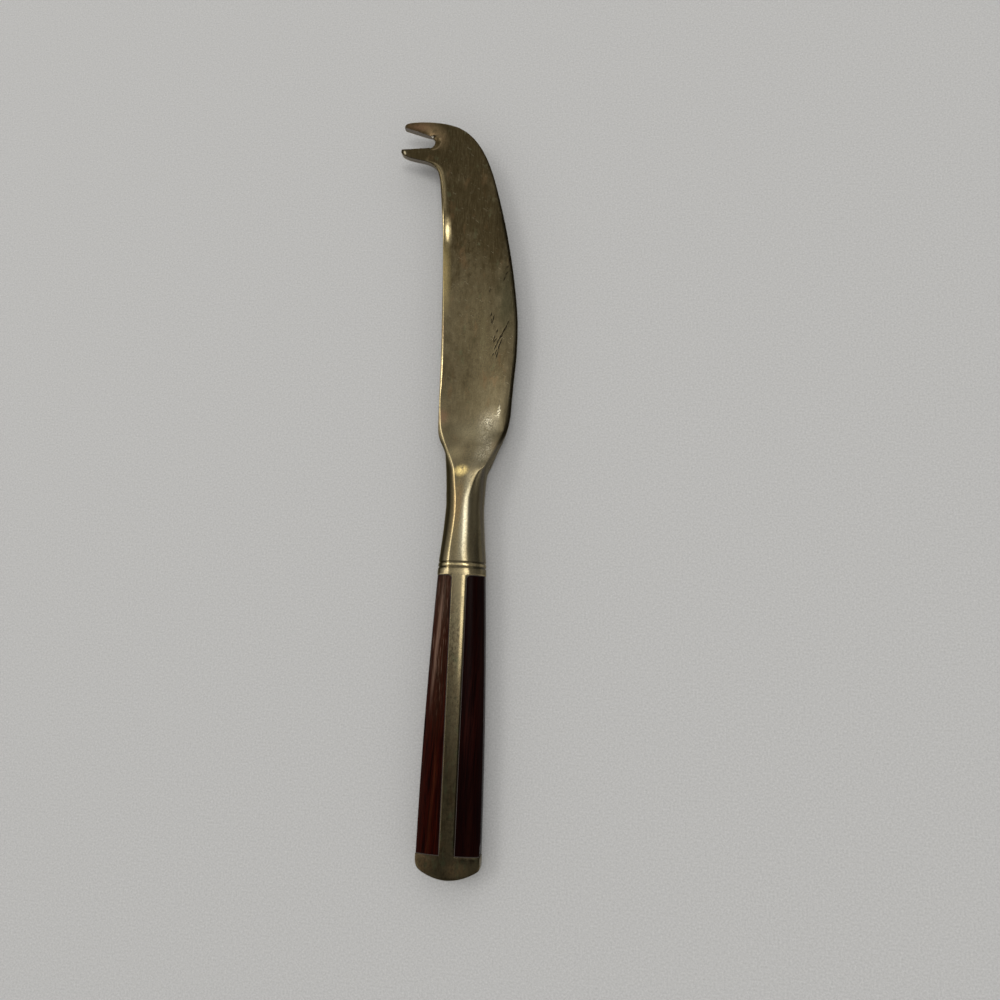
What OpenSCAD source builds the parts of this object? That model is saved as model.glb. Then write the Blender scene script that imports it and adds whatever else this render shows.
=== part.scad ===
// Cheese knife with an upturned forked tip.
// The blade, the fork, the neck and the frame of the handle are one bronze casting.
// A wooden inlay fills each long side of the handle and is bedded there in adhesive.
// The handle runs along Y with the fork at +Y, the cutting edge faces +X and the spine -X.
// The knife lies on its back face: the underside of the handle is flat on Z = 0.

/* [Handle] */
// Length from the butt to the upper groove of the ring
handle_l = 81.7; // [70:0.1:95]
// Width across the butt cap
butt_w = 17; // [15:0.1:20]
// Width at the ring
ring_w = 12.9; // [11:0.1:14.4]
// Thickness at the butt
butt_t = 6.4; // [5.6:0.1:7.6]
// Thickness at the ring
ring_t = 8.6; // [7.6:0.1:10]
// Length of the butt cap below the inlays
cap_l = 6.1; // [5:0.1:9]
// Radius of the curved butt end
butt_r = 14.4; // [12:0.1:30]
// Radius of the corners beside the curved butt end
butt_corner_r = 1.7; // [1:0.1:3]

/* [Ring] */
// Distance between the two grooves
groove_gap = 1.35; // [1:0.05:2]
// Width of each groove
groove_w = 0.6; // [0.4:0.05:0.8]
// Depth of each groove
groove_d = 0.25; // [0.15:0.05:0.4]

/* [Inlays] */
// Width of the bare metal strip between the inlays
strip_w = 4; // [3:0.1:5]
// Length of bare metal from the upper groove back to the inlays
collar_l = 3.5; // [2.6:0.1:6]
// Radius of the inlay corners beside the strip, at the ring end
inlay_corner_r = 1; // [0.5:0.1:1.6]
// Depth of the wood below the surface of the metal
inlay_step = 0.12; // [0.08:0.02:0.3]
// Thickness of the adhesive between wood and metal
bed_t = 0.15; // [0.1:0.05:0.3]

/* [Neck] */
// Length from the upper groove to the end of the blade's shoulders
neck_l = 42.1; // [36:0.1:50]
// Length from the upper groove to the waist of the neck
waist_l = 16; // [13:0.1:19]
// Width at the waist
waist_w = 10.4; // [9.2:0.1:12]
// Length of flat underside past the waist
waist_flat_l = 8; // [1:0.1:10]

/* [Blade] */
// Length from the end of the shoulders to the top of the upper prong
blade_l = 91.7; // [78:0.1:104]
// Greatest width from the spine to the cutting edge
blade_w = 22; // [19:0.1:25]
// Thickness along the spine at the shoulders
spine_t = 2.3; // [1.9:0.1:3]
// Thickness of the prongs
prong_t = 2; // [1.6:0.1:2.6]
// Thickness of the cutting edge
edge_t = 0.36; // [0.24:0.02:0.6]
// Width of the rounding along the spine and the prongs
bevel_w = 0.7; // [0.4:0.05:0.9]

/* [Fork] */
// Radius at the root of the notch
notch_r = 1.9; // [1.4:0.1:2.1]
// Width of the notch across the prong tips
notch_mouth = 7.7; // [6.4:0.1:8.2]

/* [Hidden] */
$fn = 96;

// Overrun of the cutting shapes past the surfaces that they cut
overrun = 1;

// Places along the handle's axis, from the butt
lower_groove_y = handle_l - groove_gap;
recess_end_y = handle_l - collar_l;
waist_y = handle_l + waist_l;
flat_end_y = waist_y + waist_flat_l;
shoulder_y = handle_l + neck_l;

// The curve of the handle's taper: 1 would be a straight taper
taper_power = 2;
// The curve of the neck from the ring to the waist
waist_power = 1.3;

// Shares of the waist-to-shoulder length, and of the growth in half width over it
spine_shoulder_shares = [[0, 0], [0.27, 0.08], [0.45, 0.18], [0.56, 0.28], [0.63, 0.48],
    [0.7, 0.73], [0.77, 0.89], [0.86, 0.97], [1, 1]];
edge_shoulder_shares = [[0, 0], [0.28, 0.045], [0.4, 0.115], [0.5, 0.3], [0.6, 0.49],
    [0.72, 0.72], [0.82, 0.87], [0.91, 0.95], [1, 1]];

// Lines across the blade, each as [spine across, spine along, edge across, edge along],
// in shares of the blade's width from the axis and of its length from the shoulders.
// They run level up the blade, then fan round into the fork.
blade_shares = [
    [-0.403, 0, 0.535, 0],
    [-0.408, 0.1, 0.557, 0.1],
    [-0.413, 0.2, 0.583, 0.2],
    [-0.426, 0.311, 0.577, 0.311],
    [-0.441, 0.421, 0.526, 0.421],
    [-0.46, 0.53, 0.452, 0.53],
    [-0.492, 0.64, 0.361, 0.636],
    [-0.534, 0.746, 0.248, 0.743],
    [-0.564, 0.797, 0.155, 0.817],
    [-0.598, 0.826, 0.042, 0.88],
    [-0.65, 0.8415, -0.1, 0.931],
    [-0.716, 0.852, -0.274, 0.9675],
    [-0.795, 0.859, -0.49, 0.9885],
    [-0.905, 0.866, -0.736, 0.9985],
    [-1.009, 0.874, -0.945, 1],
    [-1.091, 0.884, -1.059, 0.996],
    [-1.125, 0.8955, -1.093, 0.986]
];
// The row of blade_shares from which both sides have the prongs' rounded edge
fork_row = 12;
// The notch's root, in the same shares, and the place of its lower side at the prong tips
notch_root_shares = [-0.745, 0.9275];
notch_low_share = 0.9046;

// Shares of the half width that the flat facet takes: at the butt, the ring and the waist
butt_facet_share = 0.25;
ring_facet_share = 0.46;
waist_facet_share = 0.3;
// Shares of the half thickness that the upright side wall takes
butt_wall_share = 0.6;
ring_wall_share = 0.2;
spine_wall_share = 0.45;
// The power that shapes a flank: a half is an ellipse, 1 a parabola with a crisp edge
butt_flank_power = 0.85;
round_flank_power = 0.5;
edge_flank_power = 1;
// Share of a flank's width that it keeps on the flatter underside of the handle and neck
under_flank_share = 0.7;
// Share of the blade's width that thins towards the cutting edge
grind_share = 0.85;

// Rows between two lines of blade_shares, and points on one flank
row_steps = 3;
flank_steps = 5;
// Rows along the handle, from the waist to the shoulders and on the neck
handle_rows = 22;
neck_rows = 6;
shoulder_rows = 20;

// Ease from 0 to 1 with level ends
function ease(t) = let (c = min(max(t, 0), 1)) c * c * (3 - 2 * c);

// Value between a and b
function mix(a, b, t) = a + (b - a) * t;

// Slope of a table of [place, value] at its row i
function table_slope(table, i) =
    let (a = max(i - 1, 0))
    let (b = min(i + 1, len(table) - 1))
    (table[b][1] - table[a][1]) / (table[b][0] - table[a][0]);

// Cubic through the two rows of a table that a place lies between
function table_piece(table, i, x) =
    let (w = table[i + 1][0] - table[i][0])
    let (t = (x - table[i][0]) / w)
    let (t2 = t * t)
    let (t3 = t2 * t)
    table[i][1] * (2 * t3 - 3 * t2 + 1) + table[i + 1][1] * (3 * t2 - 2 * t3)
    + w * table_slope(table, i) * (t3 - 2 * t2 + t)
    + w * table_slope(table, i + 1) * (t3 - t2);

// Smooth value of a table of [place, value] at a place inside it
function table_at(table, x) =
    let (rows = [for (i = [0 : len(table) - 2]) if (x >= table[i][0]) i])
    table_piece(table, rows[len(rows) - 1], x);

// Point of a smooth curve through a list of points, at a place counted in points
function curve_at(points, place) =
    let (last = len(points) - 1)
    let (i = min(floor(place), last - 1))
    let (t = place - i)
    let (p0 = points[max(i - 1, 0)])
    let (p1 = points[i])
    let (p2 = points[i + 1])
    let (p3 = points[min(i + 2, last)])
    (p1 * 2 + (p2 - p0) * t + (p0 * 2 - p1 * 5 + p2 * 4 - p3) * t * t
        + (p1 * 3 - p0 - p2 * 3 + p3) * t * t * t) / 2;

// Height of the knife's middle plane, which rises slightly from the butt to the fork
function mid_z(y) = mix(butt_t, ring_t, y / handle_l) / 2;

// Half width of the handle and of the neck up to the waist
function handle_half_w(y) = y < handle_l
    ? mix(butt_w, ring_w, pow(max(y, 0) / handle_l, taper_power)) / 2
    : mix(waist_w, ring_w, pow(1 - (y - handle_l) / waist_l, waist_power)) / 2;

// Depth that the ring's grooves take out of the surface at a place
function groove_cut(y) =
    let (away = min(abs(y - handle_l), abs(y - lower_groove_y)))
    groove_d * max(1 - away / (groove_w / 2), 0);

// Half thickness: flat on the underside up to flat_end_y, then eased down to the blade
function half_t(y) = mix(mid_z(y), spine_t / 2, ease((y - flat_end_y) / (shoulder_y - flat_end_y)));

// A flank is [its width, half height of the side wall, its power]
function handle_flank(y, half_w, h) =
    let (s = min(max(y, 0) / handle_l, 1))
    let (facet = y < handle_l ? mix(butt_facet_share, ring_facet_share, s)
        : mix(ring_facet_share, waist_facet_share, (y - handle_l) / waist_l))
    [half_w * (1 - facet), h * mix(butt_wall_share, ring_wall_share, s),
        mix(butt_flank_power, round_flank_power, s)];

// A row is [spine point, edge point, middle height, half thickness, spine flank, edge flank,
// share of the flanks' widths on the underside]
function handle_row(y, inset) =
    let (cut = groove_cut(y) + inset)
    let (half_w = handle_half_w(y) - cut)
    let (h = mid_z(y) - cut)
    let (flank = handle_flank(y, half_w, h))
    [[-half_w, y], [half_w, y], mid_z(y), h, flank, flank, under_flank_share];

// Flanks of the blade where its shoulders end
spine_blade_flank = [bevel_w, spine_t / 2 * spine_wall_share, round_flank_power];
edge_blade_flank = [blade_w * grind_share, edge_t / 2, edge_flank_power];

// Row from the waist to the shoulders, at a share of the way
function shoulder_row(share) =
    let (y = mix(waist_y, shoulder_y, share))
    let (first = handle_row(waist_y, 0))
    let (left = mix(-waist_w / 2, blade_shares[0][0] * blade_w, table_at(spine_shoulder_shares, share)))
    let (right = mix(waist_w / 2, blade_shares[0][2] * blade_w, table_at(edge_shoulder_shares, share)))
    let (h = half_t(y))
    let (wall = h * ring_wall_share)
    [[left, y], [right, y], mid_z(y), h,
        [mix(first[4][0], bevel_w, ease(share)), mix(wall, spine_blade_flank[1], share), round_flank_power],
        [mix(first[5][0], edge_blade_flank[0], share), mix(wall, edge_blade_flank[1], share),
            mix(round_flank_power, edge_flank_power, share)],
        mix(under_flank_share, 1, share)];

// Row of the blade at a place counted in lines of blade_shares
function blade_row(place) =
    let (line = curve_at(blade_shares, place))
    let (spine = [line[0] * blade_w, shoulder_y + line[1] * blade_l])
    let (edge = [line[2] * blade_w, shoulder_y + line[3] * blade_l])
    let (y = (spine[1] + edge[1]) / 2)
    let (h = mix(spine_t, prong_t, (y - shoulder_y) / blade_l) / 2)
    let (fork = ease((place - fork_row / 2) / (fork_row / 2)))
    [spine, edge, mid_z(y), h,
        [bevel_w, h * spine_wall_share, round_flank_power],
        [mix(norm(edge - spine) * grind_share, bevel_w, fork), mix(edge_t / 2, h * spine_wall_share, fork),
            mix(edge_flank_power, round_flank_power, fork)],
        1];

// Points across one face of a row, as [distance from the spine, height above the middle]
function flank_points(h, flank, share) = [for (i = [0 : flank_steps])
    let (t = cos(90 * i / flank_steps))
    [flank[0] * share * (1 - t), mix(flank[1], h, pow(max(1 - t * t, 0), flank[2]))]];
function row_profile(row, share) =
    let (l = norm(row[1] - row[0]))
    let (spine_side = flank_points(row[3], row[4], share))
    let (edge_side = flank_points(row[3], row[5], share))
    concat(spine_side, [for (i = [flank_steps : -1 : 0]) [l - edge_side[i][0], edge_side[i][1]]]);

// Closed ring of points round a row: over the top from spine to edge, and back underneath
function row_ring(row) =
    let (l = norm(row[1] - row[0]))
    let (top = row_profile(row, 1))
    let (under = row_profile(row, row[6]))
    let (count = len(top))
    [for (i = [0 : 2 * count - 1])
        let (p = i < count ? top[i] : under[2 * count - 1 - i])
        let (side = i < count ? 1 : -1)
        let (plan = row[0] + (row[1] - row[0]) * (p[0] / l))
        [plan[0], plan[1], row[2] + side * p[1]]];

// Solid through a list of rows
module loft(rows) {
    rings = [for (row = rows) row_ring(row)];
    count = len(rings[0]);
    last = len(rings) - 1;
    sides = [for (k = [0 : last - 1], i = [0 : count - 1])
        let (j = (i + 1) % count)
        let (a = k * count + i)
        let (b = k * count + j)
        each [[a, a + count, b + count], [a, b + count, b]]];
    ends = [[for (i = [0 : count - 1]) i], [for (i = [count - 1 : -1 : 0]) last * count + i]];
    polyhedron(points = [for (ring = rings) each ring], faces = concat(sides, ends));
}

// Places of the handle's rows, with one at each side and at the middle of both grooves
plain_places = [for (i = [0 : handle_rows])
    mix(-overrun, lower_groove_y - groove_w, i / handle_rows)];
groove_places = [for (y = [lower_groove_y, handle_l], d = [-1, 0, 1]) y + d * groove_w / 2];
neck_places = [for (i = [1 : neck_rows]) mix(handle_l + groove_w / 2, waist_y, i / neck_rows)];

cast_rows = concat(
    [for (y = concat(plain_places, groove_places, neck_places)) handle_row(y, 0)],
    [for (i = [1 : shoulder_rows]) shoulder_row(i / shoulder_rows)],
    [for (i = [1 : row_steps * (len(blade_shares) - 1)]) blade_row(i / row_steps)]
);

// Outline that the curved butt end is cut to, open to all sides past its corners
module butt_outline() {
    arc_end_y = butt_r - sqrt(butt_r * butt_r - pow(butt_w / 2, 2));
    open_y = arc_end_y + butt_corner_r / 2;
    room = 2 * blade_w;
    offset(r = butt_corner_r) offset(delta = -butt_corner_r) intersection() {
        translate([0, butt_r]) circle(r = butt_r, $fn = 180);
        translate([-butt_w / 2, 0]) square([butt_w, 2 * butt_r]);
    }
    translate([-room, open_y]) square([2 * room, shoulder_y + blade_l + overrun]);
}

// Plan of one inlay's recess on the edge side, drawn in from its walls by a gap
module recess_plan(gap) {
    inner_x = strip_w / 2 + gap;
    outer_x = butt_w / 2 + overrun;
    low_y = cap_l + gap;
    high_y = recess_end_y - gap;
    r = inlay_corner_r - gap / 2;
    polygon(concat(
        [[inner_x, low_y], [outer_x, low_y], [outer_x, high_y]],
        [for (a = [90 : 15 : 180]) [inner_x + r + r * cos(a), high_y - r + r * sin(a)]]
    ));
}

// Plan of the notch between the prongs, open past the tips
module notch_plan() {
    root = [notch_root_shares[0] * blade_w, shoulder_y + notch_root_shares[1] * blade_l];
    low_y = shoulder_y + notch_low_share * blade_l;
    tip_x = blade_shares[len(blade_shares) - 1][0] * blade_w - overrun;
    hull() {
        translate(root) circle(r = notch_r, $fn = 48);
        translate([tip_x - overrun, low_y]) square([overrun, notch_mouth]);
    }
}

// Everything over the plan, from under the knife to above it
module through() {
    translate([0, 0, -ring_t]) linear_extrude(3 * ring_t) children();
}

// Outer form of the wood, set in from the metal's surface
module wood_form() {
    rows = handle_rows + 1;
    loft([for (i = [0 : rows])
        handle_row(mix(cap_l - overrun, recess_end_y + overrun / 2, i / rows), inlay_step)]);
}

// The bronze casting: blade, fork, neck, ring, the bar through the handle and the butt cap
module cast_body() {
    place() color([0.46, 0.42, 0.28]) difference() {
        intersection() {
            loft(cast_rows);
            through() butt_outline();
        }
        through() recess_plan(0);
        through() mirror([1, 0]) recess_plan(0);
        through() notch_plan();
    }
}

// One wooden inlay, on the edge side
module inlay() {
    color([0.25, 0.08, 0.05]) intersection() {
        wood_form();
        through() recess_plan(bed_t);
    }
}

// The adhesive under one inlay, against the bar and the two end walls of the recess
module adhesive() {
    color([0.62, 0.5, 0.3]) intersection() {
        wood_form();
        through() difference() {
            recess_plan(0);
            recess_plan(bed_t);
            translate([strip_w, cap_l + bed_t]) square([butt_w, recess_end_y - cap_l - 2 * bed_t]);
        }
    }
}

// Moves the knife from the butt's corner of the drawing to the middle of its own outline
function reach(side) = let (xs = [for (row = cast_rows, p = [row[0], row[1]]) p[0]])
    side < 0 ? min(xs) : max(xs);
module place() {
    translate([-(reach(-1) + reach(1)) / 2, -(shoulder_y + blade_l) / 2, 0]) children();
}

module edge_side_inlay() {
    place() inlay();
}
module spine_side_inlay() {
    place() mirror([1, 0, 0]) inlay();
}
module edge_side_adhesive() {
    place() adhesive();
}
module spine_side_adhesive() {
    place() mirror([1, 0, 0]) adhesive();
}

cast_body();
spine_side_inlay();
edge_side_inlay();
spine_side_adhesive();
edge_side_adhesive();
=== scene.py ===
import math

import bmesh
import bpy
import numpy as np
from mathutils import Matrix


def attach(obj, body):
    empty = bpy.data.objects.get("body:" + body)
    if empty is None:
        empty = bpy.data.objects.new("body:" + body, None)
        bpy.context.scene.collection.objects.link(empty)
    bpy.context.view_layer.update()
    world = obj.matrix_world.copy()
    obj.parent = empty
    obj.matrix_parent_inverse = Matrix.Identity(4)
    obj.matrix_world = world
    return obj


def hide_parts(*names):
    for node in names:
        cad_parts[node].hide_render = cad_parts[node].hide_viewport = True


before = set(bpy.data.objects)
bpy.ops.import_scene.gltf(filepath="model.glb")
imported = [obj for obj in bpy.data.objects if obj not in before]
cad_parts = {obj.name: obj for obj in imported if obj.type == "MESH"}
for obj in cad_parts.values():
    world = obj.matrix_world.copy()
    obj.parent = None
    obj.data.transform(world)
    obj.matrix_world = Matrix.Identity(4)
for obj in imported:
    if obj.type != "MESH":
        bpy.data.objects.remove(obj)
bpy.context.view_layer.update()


# The bronze casting: blade, fork, neck, ring, the bar through the handle and the butt cap.
# It is poured as one piece, filed and brushed by hand, then left to darken.
# Sizes are in millimetres from the butt, on the axis of the handle, with Z = 0 on the table.
axis_x, half_length = 5.94, 107.75
handle_l, butt_w, ring_w, butt_t, ring_t = 81.7, 17.0, 12.9, 6.4, 8.6
cap_l, butt_r, spine_corner_r, edge_corner_r = 6.1, 14.4, 2.6, 1.3
lower_groove_y, groove_half_w, groove_d, bead_crown = 80.35, 0.27, 0.22, 0.07
bead_y = (lower_groove_y + handle_l) / 2
strip_half_w, recess_end_y, inlay_corner_r, inlay_step, bed_t = 2.0, 78.2, 1.0, 0.12, 0.15
waist_y, waist_w, flat_end_y, shoulder_y = 97.7, 10.4, 105.7, 123.8
blade_l, blade_w, spine_t, prong_t, edge_t = 91.7, 22.0, 2.3, 2.0, 0.36
grind_share, grind_depth, thinnest = 0.85, 0.5, 0.1
notch_r, notch_mouth, notch_aim, dish_r, dish_depth = 1.9, 7.7, 0.75, 3.6, 0.3
chamfer_w, chamfer_d, chamfer_aim = 2.0, 0.42, -0.1

# Lines across the blade: spine across, spine along, edge across, edge along, in shares of its size.
blade_shares = np.array([
    [-0.403, 0, 0.535, 0],
    [-0.408, 0.1, 0.557, 0.1],
    [-0.413, 0.2, 0.583, 0.2],
    [-0.426, 0.311, 0.577, 0.311],
    [-0.441, 0.421, 0.526, 0.421],
    [-0.46, 0.53, 0.452, 0.53],
    [-0.492, 0.64, 0.361, 0.636],
    [-0.534, 0.746, 0.248, 0.743],
    [-0.564, 0.797, 0.155, 0.817],
    [-0.598, 0.826, 0.042, 0.88],
    [-0.65, 0.8415, -0.1, 0.931],
    [-0.716, 0.852, -0.274, 0.9675],
    [-0.795, 0.859, -0.49, 0.9885],
    [-0.905, 0.866, -0.736, 0.9985],
    [-1.009, 0.874, -0.945, 1],
    [-1.091, 0.884, -1.059, 0.996],
    [-1.125, 0.8955, -1.093, 0.986],
])
last_line = len(blade_shares) - 1
spine_shoulder = [(0, 0), (0.27, 0.08), (0.45, 0.18), (0.56, 0.28), (0.63, 0.48), (0.7, 0.73), (0.77, 0.89),
                  (0.86, 0.97), (1, 1)]
edge_shoulder = [(0, 0), (0.28, 0.045), (0.4, 0.115), (0.5, 0.3), (0.6, 0.49), (0.72, 0.72), (0.82, 0.87),
                 (0.91, 0.95), (1, 1)]


def mix(a, b, t):
    """The value that lies a share t of the way from a to b."""
    return a + (b - a) * t


def ease(t):
    """Three t squared less two t cubed, with t held between 0 and 1: a step with level ends."""
    t = np.clip(t, 0, 1)
    return t * t * (3 - 2 * t)


def bell(x, middle, width):
    """A bell curve: e to the power of less the square of the distance from its middle, counted in widths."""
    return np.exp(-((x - middle) / width) ** 2)


def fading(d, width):
    """1 at a distance of nothing, falling in a straight line to 0 at a width."""
    return np.clip(1 - d / width, 0, 1)


def straight_table(table, x):
    """Straight lines between the rows of a table of places and values."""
    return np.interp(x, *np.array(table, float).T)


def through_table(table, x):
    """Cubic between the rows of a table of places and values.

    Its slope at a row is that of the line between the row's neighbours.
    """
    places, values = np.array(table, float).T
    n = np.arange(len(places))
    low, high = np.maximum(n - 1, 0), np.minimum(n + 1, len(places) - 1)
    slopes = (values[high] - values[low]) / (places[high] - places[low])
    x = np.clip(x, places[0], places[-1])
    i = np.clip(np.searchsorted(places, x, side="right") - 1, 0, len(places) - 2)
    w = places[i + 1] - places[i]
    t = (x - places[i]) / w
    return (values[i] * (2 * t**3 - 3 * t**2 + 1) + values[i + 1] * (3 * t**2 - 2 * t**3)
            + w * slopes[i] * (t**3 - 2 * t**2 + t) + w * slopes[i + 1] * (t**3 - t**2))


def blade_line(place):
    """Ends of the line across the blade at a place counted in rows of blade_shares.

    Each stretch is a cubic whose slope at a row is half the step between the row's neighbours.
    """
    i = np.minimum(np.floor(place).astype(int), last_line - 1)
    t = (place - i)[:, None]
    p0, p1 = blade_shares[np.maximum(i - 1, 0)], blade_shares[i]
    p2, p3 = blade_shares[i + 1], blade_shares[np.minimum(i + 2, last_line)]
    square, cube = p0 * 2 - p1 * 5 + p2 * 4 - p3, p1 * 3 - p0 - p2 * 3 + p3
    p = (p1 * 2 + (p2 - p0) * t + square * t**2 + cube * t**3) / 2
    size, start = np.array([blade_w, blade_l]), np.array([0, shoulder_y])
    return p[:, :2] * size + start, p[:, 2:] * size + start


def mid_z(y):
    """Height of the middle plane: it rises in a straight line from the butt to the fork."""
    return mix(butt_t, ring_t, y / handle_l) / 2


def handle_half_w(y):
    """Half width of the handle and of the neck as far as the waist.

    The handle tapers with the square of y, and the neck with a power of the distance left to the waist.
    """
    handle = mix(butt_w, ring_w, (np.clip(y, 0, handle_l) / handle_l) ** 2) / 2
    neck = mix(waist_w, ring_w, np.clip(1 - (y - handle_l) / (waist_y - handle_l), 0, 1) ** 1.3) / 2
    return np.where(y < handle_l, handle, neck)


def groove_cut(y):
    """Depth taken off the surface: two rounded grooves, and the crown of the bead between them."""
    bead = fading(np.abs(y - bead_y), 0.6)
    cut = bead_crown * (bead > 0) * (1 - bead) ** 2
    for groove_y in (lower_groove_y, handle_l):
        cut = np.maximum(cut, groove_d * np.clip(1 - ((y - groove_y) / groove_half_w) ** 2, 0, 1) ** 0.8)
    return cut


# Borders of the flat facet on the handle and neck, and the shape of the flank beyond each one.
spine_border = [(0, -2.3), (40, -2.7), (78, -3.3), (83.4, -3.4), (93.1, -2.3), (98.6, -2.2), (104.9, -2.85),
                (107.3, -3.2), (109, -3.8), (113.9, -5.9), (119, -7.6), (123.8, -8.1)]
edge_border = [(0, 2.3), (40, 2.4), (78, 2.2), (83.6, 0.6), (90, 0.4), (98.6, 0.6), (100.5, 1.15),
               (102.2, 1.75), (103.9, 2.45), (105.5, 3.3), (106.7, 4.05), (108.6, 5.8), (112, 7.2),
               (117, 9.0), (120, 9.8), (123.8, 10.2)]
wall_share = [(0, 0.6), (40, 0.45), (81.7, 0.22), (105, 0.2), (123.8, 0.45)]
flank_power = [(0, 0.85), (40, 0.7), (81.7, 0.5), (123.8, 0.5)]
spine_crisp = [(0, 0.0), (78, 0.1), (84, 0.4), (108, 0.5), (116, 0.3), (123.8, 0.1)]
under_share = [(0, 0.7), (97.7, 0.7), (123.8, 1.0)]
# On the blade, by place: width of the rounding along the spine and along the cutting edge.
spine_round = [(0, 0.77), (0.6, 0.5), (1, 0.75), (2, 0.85), (3, 0.7), (4, 0.5), (5, 0.4), (5.7, 0.4),
               (6.4, 0.7), (7.2, 1.25), (8, 1.35), (9, 1.2), (11, 0.6), (13, 0.4), (16, 0.4)]
edge_round = [(0, 1.55), (0.6, 1.3), (1.2, 1.0), (2, 0.7), (4, 0.7), (8, 0.9), (11, 0.8), (13, 0.6),
              (16, 0.4)]


# Places of the rows from the butt to the shoulders, with several at each place where the surface turns.
rim_r = 0.14
rim_steps = 5
quarter = np.linspace(0, np.pi / 2, rim_steps)
groove_rows = np.arange(lower_groove_y - 0.5, handle_l + 0.5, 0.045)
cap_places = cap_l * np.array([0, 0.012, 0.03, 0.055, 0.09, 0.14, 0.2, 0.3, 0.42, 0.56, 0.7, 0.85])
corner_start_y = recess_end_y - inlay_corner_r
bar_places = np.concatenate([
    [cap_l], np.linspace(cap_l, corner_start_y, 26)[1:],
    corner_start_y + inlay_corner_r * np.sin(np.linspace(0, np.pi / 2, 9))[1:-1], [recess_end_y],
])
row_y = np.concatenate([
    cap_places,
    cap_l - rim_r + rim_r * np.sin(quarter),
    bar_places,
    recess_end_y + rim_r - rim_r * np.sin(quarter)[::-1],
    np.linspace(recess_end_y + rim_r, groove_rows[0], 8)[1:-1],
    groove_rows,
    np.linspace(groove_rows[-1], shoulder_y, 112)[1:-1],
])
cap_rows = len(cap_places) + rim_steps
bar_rows = slice(cap_rows, cap_rows + len(bar_places))
in_bar = np.zeros(len(row_y), bool)
in_bar[bar_rows] = True
rim_cut = np.zeros(len(row_y))
rim_cut[cap_rows - rim_steps:cap_rows] = rim_r * (1 - np.cos(quarter))
rim_cut[bar_rows.stop:bar_rows.stop + rim_steps] = rim_r * (1 - np.cos(quarter))[::-1]

# The notch: the middle of the circle at its root, and the lower corner of its mouth.
notch_root = np.array([-0.745 * blade_w, shoulder_y + 0.9275 * blade_l])
notch_low_y, notch_mouth_x = shoulder_y + 0.9046 * blade_l, -1.125 * blade_w - 1


def notch_distance(x, y):
    """Distance outside the notch, a circle at its root with two straight sides that open towards the tips.

    Beside a side it is the distance to that side's line, and round the root the distance to the circle.
    """
    dx, dy = x - notch_root[0], y - notch_root[1]
    circle = np.hypot(dx, dy) - notch_r
    across, nearest = [], []
    for corner_y, turn in ((notch_low_y, 1), (notch_low_y + notch_mouth, -1)):
        cx, cy = notch_mouth_x - notch_root[0], corner_y - notch_root[1]
        a = math.atan2(cy, cx) + turn * math.acos(notch_r / math.hypot(cx, cy))
        across.append(dx * math.cos(a) + dy * math.sin(a) - notch_r)
        beside = (dx * math.sin(a) - dy * math.cos(a)) * turn > 0
        nearest.append(np.where(beside, across[-1], circle))
    return np.where(across[0] >= across[1], *nearest)


def rounding(d, width):
    """Share of a rounded edge's drop at a distance d from it: one less the height of a quarter ellipse."""
    u = fading(d, width)
    return 1 - np.sqrt(1 - u * u)


def both_ends(n):
    """Places from 0 to 1 in n steps, closer together at both ends, as a half turn seen from its side."""
    return (1 - np.cos(np.pi * np.arange(n + 1) / n)) / 2


# Rows of the blade: where the notch parts them, they carry on as two grids, one for each prong.
share = np.linspace(0, 1, 1201)[None, :]
probe = np.linspace(11.5, 15, 1401)
spine_end, edge_end = blade_line(probe)
crossing = spine_end[:, None, :] + (edge_end - spine_end)[:, None, :] * share[..., None]
root_place = probe[np.argmax(notch_distance(crossing[..., 0], crossing[..., 1]).min(1) < 0)]
tip_start, root_reach = 15.55, 0.6
places = np.concatenate([
    np.linspace(0, 9, 179)[1:], np.linspace(9, root_place - root_reach, 34)[1:],
    root_place - root_reach * (1 - np.arange(1, 15) / 14) ** 2,
    root_place + root_reach * (np.arange(1, 17) / 16) ** 2,
    np.linspace(root_place + root_reach, tip_start, 17)[1:],
    mix(tip_start, last_line, np.sin(np.linspace(0, np.pi / 2, 7)))[1:],
])
root_row = int(np.argmin(np.abs(places - root_place)))
spine_end, edge_end = blade_line(places)
reach = np.linalg.norm(edge_end - spine_end, axis=1)
crossing = spine_end[:, None, :] + (edge_end - spine_end)[:, None, :] * share[..., None]
gap = notch_distance(crossing[..., 0], crossing[..., 1])
low_share = share[0][np.argmax(gap < 0, axis=1)]
high_share = share[0][::-1][np.argmax(gap[:, ::-1] < 0, axis=1)]
nearest_share = share[0][np.argmin(gap, axis=1)]
parted = np.arange(len(places)) > root_row
whole_share = mix(0.5, nearest_share, ease((places - 10) / (root_place - 10)))
low_share = np.where(parted, low_share, whole_share)
high_share = np.where(parted, high_share, whole_share)

# The prong tips are rounded in plan: near the last row each narrows as an ellipse does, the upper one on both
# sides and the lower one mostly on the side of the notch.
tip_turn = np.clip((places - tip_start) / (last_line - tip_start), 0, 1)
tip_cut = 0.37 * (1 - np.sqrt(1 - (0.92 * tip_turn) ** 2))
low_prong = np.stack([low_share * 0.12 * tip_cut, low_share * (1 - 0.42 * tip_cut)])
high_prong = np.stack([high_share + (1 - high_share) / 2 * tip_cut, 1 - (1 - high_share) / 2 * tip_cut])

# Columns: from each outer edge to a break, where a facet or a rounding begins, and on to the middle.
edge_columns, middle_columns = both_ends(20), both_ends(23)


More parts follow.
